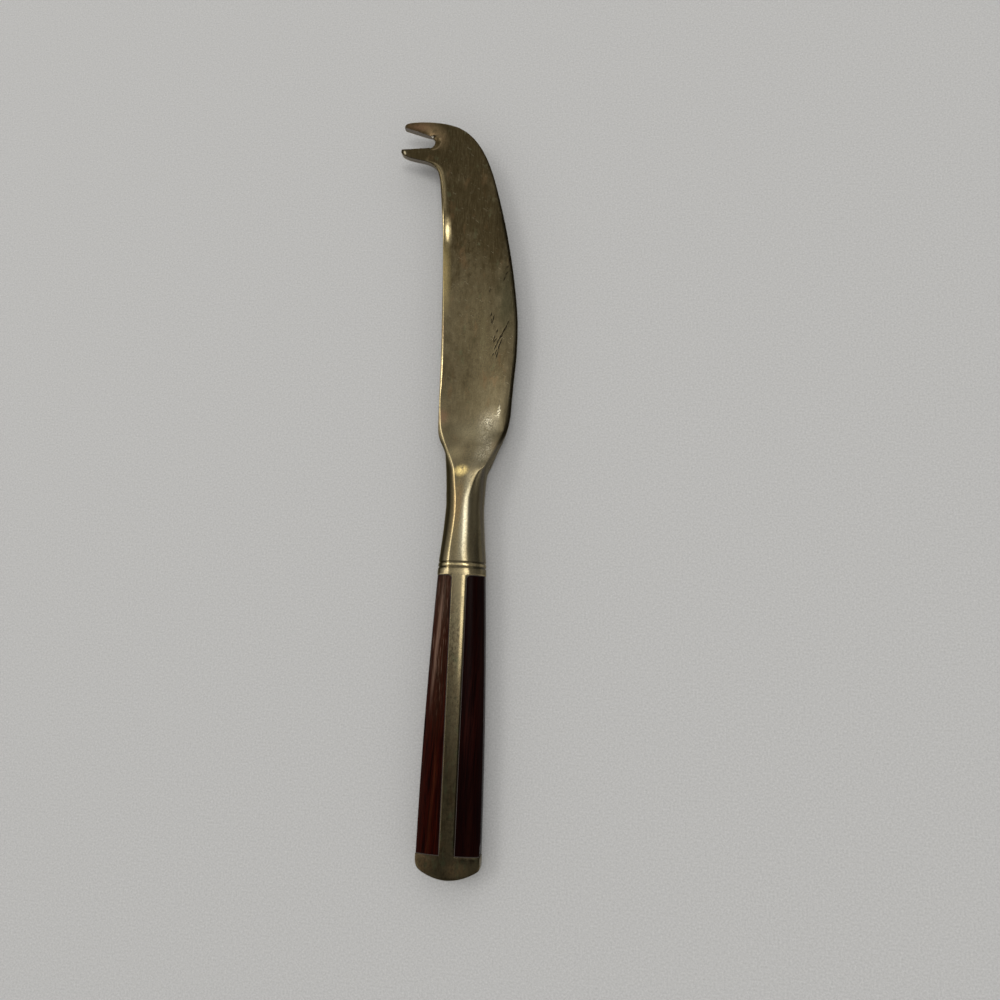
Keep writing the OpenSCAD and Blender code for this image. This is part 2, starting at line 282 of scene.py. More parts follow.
def columns(start, stop, spine_break, edge_break, middle):
    """Distances across rows, in steps from each end to its break and from there to the middle.

    The steps are closer at both ends of each stretch. Where a part is narrower than its break, the break
    comes at four fifths of the part.
    """
    spine_break = np.minimum(spine_break, 0.8 * (middle - start))
    edge_break = np.minimum(edge_break, 0.8 * (stop - middle))
    low_rest, high_rest = middle - start - spine_break, stop - middle - edge_break
    low = np.concatenate([edge_columns * spine_break, spine_break + middle_columns[1:] * low_rest], 1)
    high = np.concatenate([edge_columns * edge_break, edge_break + middle_columns[1:] * high_rest], 1)
    return start + low, (stop - high)[:, ::-1]


def col(values):
    """The values as one column, so that they spread along the columns of a grid."""
    return np.asarray(values)[:, None]


# Blade and fork, row by row: where each prong starts and stops along its row, and its columns.
spine_w, edge_w = col(through_table(spine_round, places)), col(through_table(edge_round, places))
row_l = col(reach)
low_start, low_stop = (col(end * reach) for end in low_prong)
high_start, high_stop = (col(end * reach) for end in high_prong)
low_part = columns(low_start, low_stop, spine_w, spine_w, low_stop)[0]
high_part = columns(high_start, high_stop, edge_w, edge_w, high_start)[1]


def towards(dx, dy, aim):
    """Cosine of the angle in plan between a step and an aim, which is given as its turn from the X axis."""
    return (dx * math.cos(aim) + dy * math.sin(aim)) / (np.hypot(dx, dy) + 1e-6)


def crescent_width(dx, dy):
    """Width of the chamfer round the notch's root: that of a crescent, widest towards the cutting edge."""
    return chamfer_w * np.clip((towards(dx, dy, chamfer_aim) - 0.3) / 0.7, 0.01, 1) ** 0.6


def blade_face(d, start, stop, chamfer):
    """Plan and height above the middle plane of the blade at distances d along its rows.

    The face is one wide grind, a parabola that falls towards the cutting edge and fades out in the fork. From
    it are taken the quarter-ellipse roundings of the spine, the edge, the notch and the tips, and round the
    root of the notch a dish and a filed crescent, straight in section. All are joined as the cube root of the
    sum of their cubes. Beside the fork the spine is filed into a short facet that leans outward.
    """
    plan = spine_end[:, None, :] + (edge_end - spine_end)[:, None, :] * (d / row_l)[..., None]
    x, y = plan[..., 0], plan[..., 1]
    h = mix(spine_t, prong_t, (y - shoulder_y) / blade_l) / 2
    fork = col(ease((places - 6) / 6))
    grind = fading(row_l - d, grind_share * row_l) ** 2 * (1 - fork)
    face = h * (1 - grind_depth * grind)
    wall = mix(0.45, 0.82, fork) * h
    edge_wall = mix(edge_t / 2, wall, fork)
    filed = 0.34 * (1 - ease((d - start - 0.65) / 1.9)) * col(bell(places, 5.68, 0.42))
    dx, dy, from_notch = x - notch_root[0], y - notch_root[1], notch_distance(x, y)
    dish = np.clip(towards(dx, dy, notch_aim), 0, 1) ** 1.6 * fading(from_notch, dish_r) ** 1.3
    crescent = fading(from_notch, crescent_width(dx, dy))
    drops = (
        (face - wall) * rounding(d - start, spine_w) + filed,
        (face - edge_wall) * rounding(stop - d, edge_w),
        (face - wall) * rounding(from_notch, 0.25) + h * dish_depth * dish + chamfer * crescent,
        (face - 0.6 * wall) * rounding(col(last_line - places) * 1.6, 0.9),
    )
    drop = sum(np.maximum(each, 0) ** 3 for each in drops) ** (1 / 3)
    return x, y, np.maximum(face - drop, thinnest)


# Handle, ring, neck and shoulders.
shoulder = np.clip((row_y - waist_y) / (shoulder_y - waist_y), 0, 1)
half_w = handle_half_w(row_y)
spine_flare = mix(-waist_w / 2, blade_shares[0, 0] * blade_w, through_table(spine_shoulder, shoulder))
edge_flare = mix(waist_w / 2, blade_shares[0, 2] * blade_w, through_table(edge_shoulder, shoulder))
spine_side = np.where(shoulder > 0, spine_flare, -half_w)
edge_side = np.where(shoulder > 0, edge_flare, half_w)
cut = groove_cut(row_y)
spine_side, edge_side = spine_side + cut, edge_side - cut
half_t = mix(mid_z(row_y), spine_t / 2, ease((row_y - flat_end_y) / (shoulder_y - flat_end_y))) - cut
# The bar's side walls reach out round the inlays' corners. In the collar the facet's borders take over.
collar = ease((row_y - 78.6) / 1.4)
edge_r = 0.14
past_corner = row_y - corner_start_y
corner = inlay_corner_r - np.sqrt(np.clip(inlay_corner_r ** 2 - past_corner ** 2, 0, None))
strip = strip_half_w - edge_r + np.where(in_bar & (past_corner > 0), corner, 0)
spine_break = mix(-strip - spine_side, through_table(spine_border, row_y) - spine_side, collar)
edge_break = mix(edge_side - strip, edge_side - through_table(edge_border, row_y), collar)
middle = -0.9 * ease((row_y - 80) / 8) * (1 - ease((row_y - 101) / 6))
body_columns = spine_side, edge_side, spine_break, edge_break, middle
body_low, body_high = columns(*(col(each) for each in body_columns))


def flank(d, width, power, crisp, soften):
    """Share of a flank's drop at a distance d from the side.

    It starts at the facet's border, eased in over a softened width. One share of it is a straight slope and
    the rest falls ever faster, as one less the power of a quarter circle's height.
    """
    s = width - d
    s = np.where(s > soften, s, np.where(s > -soften, (s + soften) ** 2 / (4 * soften), 0))
    u = np.clip(s / width, 0, 1)
    return crisp * u + (1 - crisp) * (1 - (1 - u * u) ** power)


def body_face(x, under):
    """Height of the handle, neck and shoulders above the middle plane at places x across their rows.

    The facet is crowned as a parabola and takes up the blade's grind towards the shoulders. From it are taken
    the drops of the two flanks, joined as the cube root of the sum of their cubes.
    """
    y = col(row_y)
    power, wall = through_table(flank_power, y), through_table(wall_share, y) * col(half_t)
    share = through_table(under_share, y) if under else 1
    spine_f = (through_table(spine_border, y) - col(spine_side)) * share
    edge_f = (col(edge_side) - through_table(edge_border, y)) * share
    blade = ease((y - 108) / (shoulder_y - 108))
    grind = fading(col(edge_side) - x, grind_share * col(edge_side - spine_side)) ** 2 * blade
    crown = mix(0.028, 0.018, ease((y - 84) / 11)) * x ** 2 * (1 - blade)
    face = col(half_t) * (1 - grind_depth * grind) - np.minimum(crown, 0.4)
    edge_wall = mix(wall, edge_t / 2, blade)
    crisp = through_table(spine_crisp, y)
    spine_drop = (face - wall) * flank(x - col(spine_side), spine_f, power, crisp, 0.42)
    edge_soften = np.minimum(0.7, edge_f * 0.3)
    edge_drop = (face - edge_wall) * flank(col(edge_side) - x, edge_f, power, 0.12, edge_soften)
    return face - (np.maximum(spine_drop, 0) ** 3 + np.maximum(edge_drop, 0) ** 3) ** (1 / 3)


def butt_arc(x):
    """Y of the curved butt at a place x across it.

    It is a large circle that a corner circle meets smoothly on each side. The corner on the spine side is
    worn rounder than the other.
    """
    a, r = np.abs(x), np.where(x < 0, spine_corner_r, edge_corner_r)
    corner_x = butt_w / 2 - r
    corner_y = butt_r - np.sqrt((butt_r - r) ** 2 - corner_x ** 2)
    meet = corner_x * butt_r / (butt_r - r)
    arc = butt_r - np.sqrt(butt_r ** 2 - np.minimum(a, meet) ** 2)
    corner = corner_y - np.sqrt(np.clip(r ** 2 - np.clip(a - corner_x, 0, None) ** 2, 0, None))
    return np.where(a < meet, arc, corner)


def body_surface(x, under):
    """One face of the handle, neck and shoulders: its rows bent to the butt's curve, its rims and bar shaped.

    The rims and the bar's edges turn down as quarter circles, and the butt's edge as a quarter ellipse.
    """
    z = body_face(x, under)
    y = np.broadcast_to(col(row_y), x.shape).copy()
    # The rims of the cap and the collar turn down into the recesses, but not where the bar passes them.
    beside = ease((np.abs(x) - strip_half_w) / 0.3) * col(rim_cut)
    z = z - beside
    x = x * (1 - beside / butt_w * 2)
    # The cap's rows bend from the straight recess to the arc of the butt, and its end edge is rounded.
    cap = y < cap_l
    arc = butt_arc(x)
    y = np.where(cap, arc + y / cap_l * (cap_l - arc), y)
    z = z - np.where(cap, z * 0.3 * rounding(y - arc, 0.8), 0)
    # In the bar, the outer columns climb its side wall and round its edge.
    turn = np.clip((edge_columns - 0.5) * 2, 0, 1)
    top = col(half_t) - 0.028 * strip_half_w ** 2
    n = len(edge_columns)
    side_x = col(strip + edge_r) - edge_r * (1 - np.cos(turn * np.pi / 2))
    side_z = (top - edge_r) * np.clip(edge_columns * 2, 0, 1) + edge_r * np.sin(turn * np.pi / 2)
    bar = np.zeros(x.shape, bool)
    bar[in_bar] = True
    if x[0, 0] < 0:
        x[:, :n] = np.where(bar[:, :n], -side_x, x[:, :n])
        z[:, :n] = np.where(bar[:, :n], side_z, z[:, :n])
    else:
        x[:, -n:] = np.where(bar[:, -n:], side_x[:, ::-1], x[:, -n:])
        z[:, -n:] = np.where(bar[:, -n:], side_z[:, ::-1], z[:, -n:])
    return x, y, z


def to_metres(x, y, z):
    """Points of the knife's own frame, in millimetres, as rows of metres in the shared frame."""
    return np.stack([x + axis_x, y - half_length, z], -1) * 0.001


def half(body_x, blade_d, start, stop, side):
    """One face of one long half of the casting, from the butt to the tips.

    Side is 1 on top and -1 underneath, where the notch has no chamfer.
    """
    x, y, z = body_surface(body_x.copy(), side < 0)
    bx, by, bz = blade_face(blade_d, start, stop, chamfer_d if side > 0 else 0.0)
    x, y, z = (np.concatenate(pair) for pair in ((x, bx), (y, by), (z, bz)))
    return to_metres(x, y, mid_z(y) + side * z)


def grid_faces(rows, cols, first, flip):
    """Four-sided faces of a grid of points that are numbered row by row from first."""
    a = (first + np.arange(rows - 1)[:, None] * cols + np.arange(cols - 1)).ravel()
    quads = np.stack([a, a + 1, a + cols + 1, a + cols], 1)
    return quads[:, ::-1] if flip else quads


def solid_of(name, grids):
    """A closed mesh from grids of points, each with its way round, joined where their borders meet."""
    points, faces, first = [], [], 0
    for grid, flip in grids:
        rows, cols = grid.shape[:2]
        points.append(grid.reshape(-1, 3))
        faces.append(grid_faces(rows, cols, first, flip))
        first += rows * cols
    mesh = bpy.data.meshes.new(name)
    mesh.from_pydata(np.concatenate(points), [], np.concatenate(faces).tolist())
    work = bmesh.new()
    work.from_mesh(mesh)
    bmesh.ops.remove_doubles(work, verts=work.verts, dist=3e-7)
    bmesh.ops.dissolve_degenerate(work, edges=work.edges, dist=1e-7)
    bmesh.ops.recalc_face_normals(work, faces=work.faces)
    work.to_mesh(mesh)
    work.free()
    mesh.shade_smooth()
    mesh.set_sharp_from_angle(angle=math.radians(38))
    piece = bpy.data.objects.new(name, mesh)
    bpy.context.collection.objects.link(piece)
    return piece


top_low = half(body_low, low_part, low_start, row_l, 1)
top_high = half(body_high, high_part, 0, high_stop, 1)
under_low = half(body_low, low_part, low_start, row_l, -1)
under_high = half(body_high, high_part, 0, high_stop, -1)
parted_rows = slice(len(row_y) + root_row, None)


def wall(under, top):
    """Grid of the upright wall between two borders."""
    return np.stack([under, top], 1)


casting = solid_of("bronze_casting", [
    (top_low, False), (top_high, False), (under_low, True), (under_high, True),
    (wall(under_low[:, 0], top_low[:, 0]), False), (wall(under_high[:, -1], top_high[:, -1]), True),
    (wall(under_low[parted_rows, -1], top_low[parted_rows, -1]), True),
    (wall(under_high[parted_rows, 0], top_high[parted_rows, 0]), False),
    (wall(under_low[-1], top_low[-1]), False), (wall(under_high[-1], top_high[-1]), False),
    (wall(under_low[0], top_low[0]), True), (wall(under_high[0], top_high[0]), True),
])


class Shader:
    """Builds a material's nodes: each call adds a node, sets its values and returns its output."""

    def __init__(self, name):
        self.material = bpy.data.materials.new(name)
        self.material.use_nodes = True
        self.tree = self.material.node_tree
        self.surface = self.tree.nodes["Principled BSDF"]
        self.place = self.tree.nodes.new("ShaderNodeTexCoord").outputs["Object"]
        self.colour = (0, 0, 0)

    def put(self, socket, value):
        """Links an output to a socket, or sets the socket's own value, unless the value is None."""
        if isinstance(value, bpy.types.NodeSocket):
            self.tree.links.new(value, socket)
        elif value is not None:
            is_colour = isinstance(value, tuple) and socket.type == "RGBA"
            socket.default_value = (*value, 1) if is_colour else value

    def add(self, kind, output=0, *inputs, **settings):
        """A node of a kind with its settings and its inputs in order, or by name."""
        node = self.tree.nodes.new("ShaderNode" + kind)
        for key, value in settings.items():
            if hasattr(node, key):
                setattr(node, key, value)
            else:
                self.put(node.inputs[key.replace("_", " ").title()], value)
        for socket, value in zip(node.inputs, inputs):
            self.put(socket, value)
        return node.outputs[output]

    def stretched(self, across, along, up=None, turn=0.0):
        """Object coordinates in units of a feature's own size, turned in plan.

        The size is in millimetres across, along and up.
        """
        sizes = (1000 / across, 1000 / along, 1000 / (up or across))
        turned = self.add("Mapping", 0, self.place, Rotation=(0, 0, turn)) if turn else self.place
        return self.add("Mapping", 0, turned, Scale=sizes)

    def noise(self, place, detail=3.0, rough=0.55, twist=0.0):
        """Soft random values from 0 to 1."""
        return self.add("TexNoise", "Fac", place, Detail=detail, Roughness=rough, Distortion=twist, Scale=1)

    def ramp(self, value, low, high):
        """0 below low, 1 above high, and eased in between."""
        return self.add("MapRange", 0, value, low, high, 0.0, 1.0, interpolation_type="SMOOTHSTEP")

    def math(self, kind, a, b=None, c=None):
        """One step of arithmetic on up to three values."""
        return self.add("Math", 0, a, b, c, operation=kind)

    def times(self, a, b):
        """Product of two values."""
        return self.math("MULTIPLY", a, b)

    def plus(self, a, b):
        """Sum of two values."""
        return self.math("ADD", a, b)

    def most(self, a, b):
        """The greater of two values."""
        return self.math("MAXIMUM", a, b)

    def blend(self, share, a, b, kind="MIX"):
        """Colour that goes from a to b as share goes from 0 to 1."""
        inputs = share, None, None, None, None, None, a, b
        return self.add("Mix", 2, *inputs, data_type="RGBA", blend_type=kind)

    def coat(self, share, strength, tint, kind="MIX"):
        """Lays a tint over the colour so far, as thickly as its share times its strength."""
        self.colour = self.blend(self.times(share, strength), self.colour, tint, kind)

    def spot(self, x, y, across, along, turn=0.0, soft=1.0):
        """1 in the middle of an ellipse in plan, at a place in millimetres from the butt, and 0 at its rim.

        Soft is the share of the way from the rim to the middle over which it rises.
        """
        at = ((x + axis_x) / 1000, (y - half_length) / 1000, 0)
        moved = self.add("VectorMath", 0, self.place, at, operation="SUBTRACT")
        turned = self.add("VectorRotate", 0, moved, rotation_type="Z_AXIS", Angle=-turn)
        sized = self.add("VectorMath", 0, turned, (2000 / across, 2000 / along, 0), operation="MULTIPLY")
        away = self.add("VectorMath", 1, sized, operation="LENGTH")
        return self.ramp(away, 1.0, 1.0 - soft)

    def spots(self, *each):
        """The greatest of several spots, each given by the values that one spot takes."""
        share = 0.0
        for values in each:
            share = self.most(share, self.spot(*values))
        return share

    def bump(self, height, depth, under=None):
        """Normal tilted by a height from 0 to 1 that stands for a depth in millimetres."""
        return self.add("Bump", 0, Strength=1, Distance=depth / 1000, Height=height, Normal=under)

    def look(self, **values):
        """Gives the surface the colour so far, and its other values by the names of their sockets."""
        for name, value in {"Base_Color": self.colour, **values}.items():
            self.put(self.surface.inputs[name.replace("_", " ")], value)


def paint(piece, name, values):
    """Stores one value a point on a piece, for its material to read by name."""
    layer = piece.data.attributes.new(name, "FLOAT", "POINT")
    layer.data.foreach_set("value", values.astype(np.float32))


def points_of(piece):
    """Places of a piece's points in millimetres from the butt, and the ways that it faces there."""
    count = len(piece.data.vertices)
    place, facing = np.empty(count * 3, np.float32), np.empty(count * 3, np.float32)
    piece.data.vertices.foreach_get("co", place)
    piece.data.vertices.foreach_get("normal", facing)
    place = place.reshape(-1, 3) * 1000 + (-axis_x, half_length, 0)
    return place, facing.reshape(-1, 3)


# Painted shade on the neck's flanks, the grooves, the cutting edge, the metal beside the wood and the cap's
# end, with tarnish in the grooves. On a flank it goes by the share of the way out from the facet's border.
place, facing = points_of(casting)
x, y = place[:, 0], place[:, 1]
facing_x, facing_y, facing_z = facing.T
steep = ease((1 - np.abs(facing_z) - 0.035) / 0.17)
tilted = ease((1 - np.abs(facing_z) - 0.004) / 0.08)
bar = (y > cap_l) * (y < recess_end_y)
blade = ease((y - 112) / 9)
neck = ease((y - recess_end_y) / 2) * (1 - blade)
flanks = ease((y - recess_end_y) / 0.4) * (1 - blade)
spine_line, edge_line = through_table(spine_border, y), through_table(edge_border, y)
spine_out = np.clip((spine_line - x) / (spine_line - np.interp(y, row_y, spine_side)), 0, 1)
edge_out = np.clip((x - edge_line) / (np.interp(y, row_y, edge_side) - edge_line), 0, 1)
neck_dark = straight_table([(0, 0), (0.1, 0.3), (0.2, 0.36), (0.36, 0.46), (0.5, 0.88), (0.6, 1),
                            (0.72, 0.98), (0.85, 0.9), (1, 0.86)], spine_out)
collar_dark = straight_table([(0, 0), (0.1, 0.1), (0.4, 0.2), (0.5, 0.5), (0.62, 0.6), (0.72, 0.97),
                              (0.85, 0.9), (1, 0.8)], spine_out)
spine_dark = mix(collar_dark, neck_dark, ease((y - 79.6) / 0.6))
edge_dark = straight_table([(0.33, 0), (0.38, 0.22), (0.43, 0.4), (0.52, 0.55), (0.62, 0.74), (0.72, 0.86),
                            (0.77, 0.9), (0.8, 0.7), (1, 0.62)], edge_out)
flank_dark = np.maximum(spine_dark, edge_dark)
shade_and_tarnish = flank_dark * flanks + 0.75 * tilted * blade * ease(facing_x / 0.1)
shade_and_tarnish += 0.6 * groove_cut(y) / groove_d * (y < 90)
edge_rows = slice(0, 120)
from_edge = np.interp(y, edge_end[edge_rows, 1], edge_end[edge_rows, 0]) - x
near_edge = 0.5 * fading(from_edge, 4.3) ** 1.1 + 0.35 * (from_edge < 0.9)
near_edge += 0.5 * (1 - ease((y - 128) / 24)) * fading(from_edge, 2.3) ** 0.6
shade_and_tarnish += ease((y - 112) / 8) * near_edge
shade_and_tarnish += 0.4 * ease((y - 109) / 4) * (1 - ease((y - 122) / 10)) * fading(from_edge, 3.6)
shade_and_tarnish = np.maximum(shade_and_tarnish, 0.8 * steep * bar)
shade_and_tarnish += 0.8 * bell(y, cap_l - 0.05, 0.2) * (np.abs(x) > 2.1)
shade_and_tarnish = np.maximum(shade_and_tarnish, 0.96 * bar * ease((x - 1.5) / 0.16))
shade_and_tarnish = np.maximum(shade_and_tarnish, 0.9 * (y < cap_l) * ease((-facing_y - 0.1) / 0.3))
paint(casting, "shade_and_tarnish", np.clip(shade_and_tarnish, 0, 1))

# Wear and painted highlights: bright along the facet's border on the spine side, down the bar, along the
# spine, on the bead between the grooves and on the rim of the collar.
border_highlight = straight_table([(83, 0.85), (89, 0.4), (98, 0.72), (103, 0.6), (107, 0.5)], y)
rub_and_highlight = bell(x, spine_line, 0.3) * neck * border_highlight
rub_and_highlight += bar * (0.5 * bell(x, -1.9, 0.13) + ease((y - 46) / 16) * bell(x, 1.15, 0.36))
rub_and_highlight += 0.36 * blade * (1 - ease((y - 184) / 5)) * ease(-facing_x / 0.3) * (facing_z > 0.4)
from_spine = x - np.interp(y, spine_end[:root_row, 1], spine_end[:root_row, 0])
rub_and_highlight += 0.3 * ease((y - 184) / 4) * (1 - ease((y - 201) / 3)) * bell(from_spine, 1.1, 0.42)
rub_and_highlight += (1 - 0.8 * flank_dark) * bell(y, recess_end_y + 0.15, 0.2) * (np.abs(x) > 2.4)
rub_and_highlight += (1 - flank_dark) * (0.9 * bell(y, bead_y, 0.4) + 0.3 * bell(y, 79.2, 0.7))
outward = ease(-facing_x / 0.15) * (facing_z > 0.4)
rub_and_highlight += 1.5 * outward * (bell(y, 180.4, 4) + bell(y, 134, 8))
paint(casting, "wear_and_highlight", np.clip(rub_and_highlight, 0, 1.4))

# Round the notch: the crescent and the upper prong's lower edge in painted shade, the rim as a painted
# highlight, and the dish; the upright walls of the fork and the neck's edge side carry the table's painted
# reflection.
dx, dy = x - notch_root[0], y - notch_root[1]
from_notch, crescent = notch_distance(x, y), crescent_width(dx, dy)
near_notch = (y > 200) * (facing_z > 0.3)
chamfer_shade = near_notch * np.clip((crescent - from_notch) / 0.12, 0, 1) * (crescent > 0.5)
upper_prong = near_notch * (dy > 0.4) * ease((0.4 - dx) / 0.8) * ease((x + 26) / 2.5)
chamfer_shade = np.maximum(chamfer_shade, 0.7 * upper_prong * np.clip((1.1 - from_notch) / 0.5, 0, 1))
paint(casting, "chamfer", chamfer_shade)
paint(casting, "chamfer_rim_highlight", near_notch * bell(from_notch, crescent, 0.16) * ease((crescent - 0.7) / 0.8))
behind = np.clip(towards(dx, dy, notch_aim), 0, 1) * (y > 195)
paint(casting, "dish", behind * np.clip(1.15 - from_notch / 4.2, 0, 1))
upright = ease((0.75 - np.abs(facing_z)) / 0.3)
paint(casting, "wall_reflection", upright * (ease((y - 190) / 6) + 0.45 * neck * (facing_x > 0)))

bronze = Shader("bronze")
along = bronze.add("SeparateXYZ", 1, bronze.place)
clouds = bronze.noise(bronze.stretched(7, 16), 4, 0.62, 0.5)
mottle = bronze.noise(bronze.stretched(1.5, 2.6), 5, 0.68)
brush = bronze.noise(bronze.stretched(0.15, 3.2), 2, 0.5, 0.4)
speck = bronze.noise(bronze.stretched(0.2, 0.24), 2, 0.6)
grit = bronze.noise(bronze.stretched(0.3, 0.34), 3, 0.75)
# Painted marks: shade with tarnish, wear with highlights, wall reflection, dish, chamfer shade, rim
# highlight.
shade_and_tarnish, wear_and_highlight, wall_reflection, dish, chamfer, chamfer_rim_highlight = (
    bronze.add("Attribute", "Fac", attribute_name=name)
    for name in ("shade_and_tarnish", "wear_and_highlight", "wall_reflection", "dish", "chamfer", "chamfer_rim_highlight")
)

# Brown tarnish that deepens from the ring towards the blade, the fork and the butt, in soft clouds.
fork_ward = 0
for start, stop, rise in ((-0.02, 0.008, 0.58), (0.012, 0.034, 0.21), (0.05, 0.076, 0.24)):
    fork_ward = bronze.plus(fork_ward, bronze.times(bronze.ramp(along, start, stop), rise))
butt_ward = bronze.times(bronze.ramp(along, -0.032, -0.085), 0.77)
tarnish = bronze.most(fork_ward, butt_ward)
for waver, strength in ((clouds, 0.7), (mottle, 0.5)):
    tarnish = bronze.plus(tarnish, bronze.times(bronze.math("SUBTRACT", waver, 0.5), strength))
tarnish = bronze.add("Clamp", 0, tarnish)
pale_bronze, brown_bronze, tip_shade = (0.24, 0.2, 0.118), (0.041, 0.03, 0.0135), (0.012, 0.008, 0.005)
bronze.colour = bronze.blend(tarnish, pale_bronze, brown_bronze)
# Copper-red and green tints in patches, as in old bronze.
red = bronze.ramp(bronze.noise(bronze.stretched(3, 7, 4), 3, 0.6), 0.56, 0.74)
bronze.coat(red, 0.26, (0.17, 0.095, 0.045))
green = bronze.ramp(bronze.noise(bronze.stretched(2.2, 4, 5), 3, 0.6), 0.6, 0.74)
bronze.coat(green, 0.35, (0.085, 0.095, 0.05))
copper = bronze.spots((-1.2, 97.5, 4, 17, -0.06, 0.9), (-19.5, 213.6, 12, 4.6, 0.05, 0.9),
                      (-9.4, 149, 2.4, 14, 0.05, 0.7), (-7.6, 123, 5, 7, 0.2, 1))
bronze.coat(copper, 0.5, (0.2, 0.105, 0.062))
# The fork: a brown dish, the crescent in painted shade with a painted highlight on its rim, painted shade at
# its end and at the upper tip, and a painted glint.
bronze.coat(bronze.times(dish, bronze.ramp(mottle, 0.25, 0.55)), 0.85, (0.26, 0.18, 0.095))
bronze.coat(chamfer, 0.9, (0.045, 0.031, 0.0125))
bronze.coat(chamfer_rim_highlight, 0.6, (0.25, 0.19, 0.11))
bronze.coat(bronze.spot(-13.7, 210.2, 2.6, 2.6, 0, 0.8), 0.85, (0.014, 0.009, 0.004))
bronze.coat(bronze.spot(-24.7, 215.6, 1.5, 3.4, 0, 0.8), 0.75, tip_shade)
bronze.coat(bronze.spot(-15.3, 210.7, 1, 0.7, 0.2, 0.6), 1, (0.9, 0.82, 0.66))
# The cap: browner in two places, paler beside the spine side's wood and dark beside the other.
brown = bronze.spots((-6.2, 4, 8, 9, 0.3, 0.8), (2.6, 2.8, 8, 6, 0, 0.9))
bronze.coat(bronze.times(brown, bronze.ramp(mottle, 0.15, 0.5)), 0.8, (0.2, 0.135, 0.068))
bronze.coat(bronze.spot(-5.2, 5.6, 7, 2.6), 0.6, (0.36, 0.255, 0.145))
bronze.coat(bronze.spot(5.4, 5.4, 6.5, 3.6, 0, 0.8), 0.7, (0.014, 0.0095, 0.006))
# The bar through the handle: dark specks, brown patches and a little green.
bar_ward = bronze.ramp(along, -0.03, -0.045)
for size, rough, low, high, strength, tint in (
    ((0.55, 0.8), 0.7, 0.52, 0.64, 0.6, (0.026, 0.018, 0.01)),
    ((1.1, 1.7), 0.6, 0.47, 0.62, 0.5, (0.115, 0.088, 0.048)),
    ((1.4, 3.2), 0.65, 0.54, 0.7, 0.4, (0.1, 0.125, 0.065)),
):
    patches = bronze.ramp(bronze.noise(bronze.stretched(*size), 3, rough), low, high)
    bronze.coat(bronze.times(patches, bar_ward), strength, tint)
# The neck: golden on its facet, with a painted highlight, a cream band, along the border on the edge side.
gold = bronze.times(bronze.spot(-1.6, 96, 5.6, 36), bronze.ramp(mottle, 0.25, 0.55))
bronze.coat(gold, 0.6, (0.29, 0.215, 0.09))
bronze.coat(bronze.spot(0.7, 92.5, 3.8, 33, -0.05), 0.85, (0.37, 0.34, 0.245))
# The blade: a dull green-brown patch along the cutting edge, a paler streak beside it, and a pale foot.
darker_patch = bronze.times(bronze.spot(9.5, 158, 10, 36), bronze.ramp(clouds, 0.3, 0.6))
bronze.coat(darker_patch, 0.6, (0.05, 0.049, 0.027))
streak = bronze.times(bronze.spot(3, 150, 4, 40), bronze.ramp(mottle, 0.3, 0.6))
bronze.coat(streak, 0.3, (0.17, 0.145, 0.08))
bronze.coat(bronze.spot(2.5, 118.6, 19, 8, -0.08), 0.75, (0.275, 0.235, 0.14))
# Fine brushing, a painted highlight where the neck widens, painted shade with tarnish in the grooves, and the
# upright walls with the table's painted reflection.
bronze.coat(bronze.ramp(brush, 0.42, 0.72), 0.07, (0.42, 0.35, 0.2))
bronze.coat(bronze.spot(-3, 111.6, 9, 7), 0.6, (0.33, 0.27, 0.15))
bronze.coat(shade_and_tarnish, 0.94, (0.0095, 0.0075, 0.004))
bronze.coat(wall_reflection, 0.8, (0.28, 0.26, 0.242))
# Wear and painted sheen in a grainy pale patch near the edge side's shoulder, painted glints on it, the rims
# with their painted highlights, coppery on the neck, and a painted golden highlight at the top of the neck.
worn_and_sheen = bronze.spots((5.6, 120.6, 8.5, 13, -0.25), (5, 112.5, 6.5, 14, -0.45))
worn_and_sheen = bronze.most(worn_and_sheen, bronze.times(bronze.spot(5.2, 116.4, 8, 7, -0.3), 0.7))
worn_and_sheen = bronze.times(worn_and_sheen, bronze.math("MULTIPLY_ADD", bronze.ramp(mottle, 0.35, 0.6), 0.5, 0.5))
worn_and_sheen = bronze.times(worn_and_sheen, bronze.ramp(grit, 0.36, 0.64))
bronze.coat(worn_and_sheen, 1, (0.48, 0.43, 0.31))
glint = bronze.spots((5.6, 121.6, 3.4, 3), (8.4, 124.4, 1.6, 5, -0.1))
bronze.coat(glint, bronze.ramp(grit, 0.5, 0.62), (0.85, 0.78, 0.58))
rims_and_highlights = bronze.times(wear_and_highlight, bronze.math("MULTIPLY_ADD", bronze.ramp(mottle, 0.3, 0.55), 0.6, 0.4))
bronze.coat(rims_and_highlights, 0.85, (0.63, 0.51, 0.28))
coppery = bronze.times(rims_and_highlights, bronze.spot(-3.2, 97.5, 5, 24, 0, 0.6))
bronze.coat(coppery, 0.7, (0.62, 0.4, 0.17))
shoulder_highlight = bronze.times(bronze.spot(-0.9, 106.8, 5.6, 4.2, 0.35), bronze.ramp(mottle, 0.3, 0.5))
bronze.coat(shoulder_highlight, 1, (1, 0.77, 0.31))
# The lower prong's tip: painted shade and a painted highlight at its end. The spine: a painted golden sheen.
bronze.coat(bronze.spot(-24.6, 205.6, 1.6, 3.4, 0, 0.8), 0.85, tip_shade)
bronze.coat(bronze.spot(-23.5, 205.5, 0.9, 1.9, 0.35, 0.8), 1, (0.6, 0.52, 0.35))
sheen = bronze.times(bronze.spot(-9.2, 167, 4.6, 38, 0.055), bronze.ramp(grit, 0.2, 0.5))
bronze.coat(sheen, 0.65, (0.34, 0.265, 0.115))

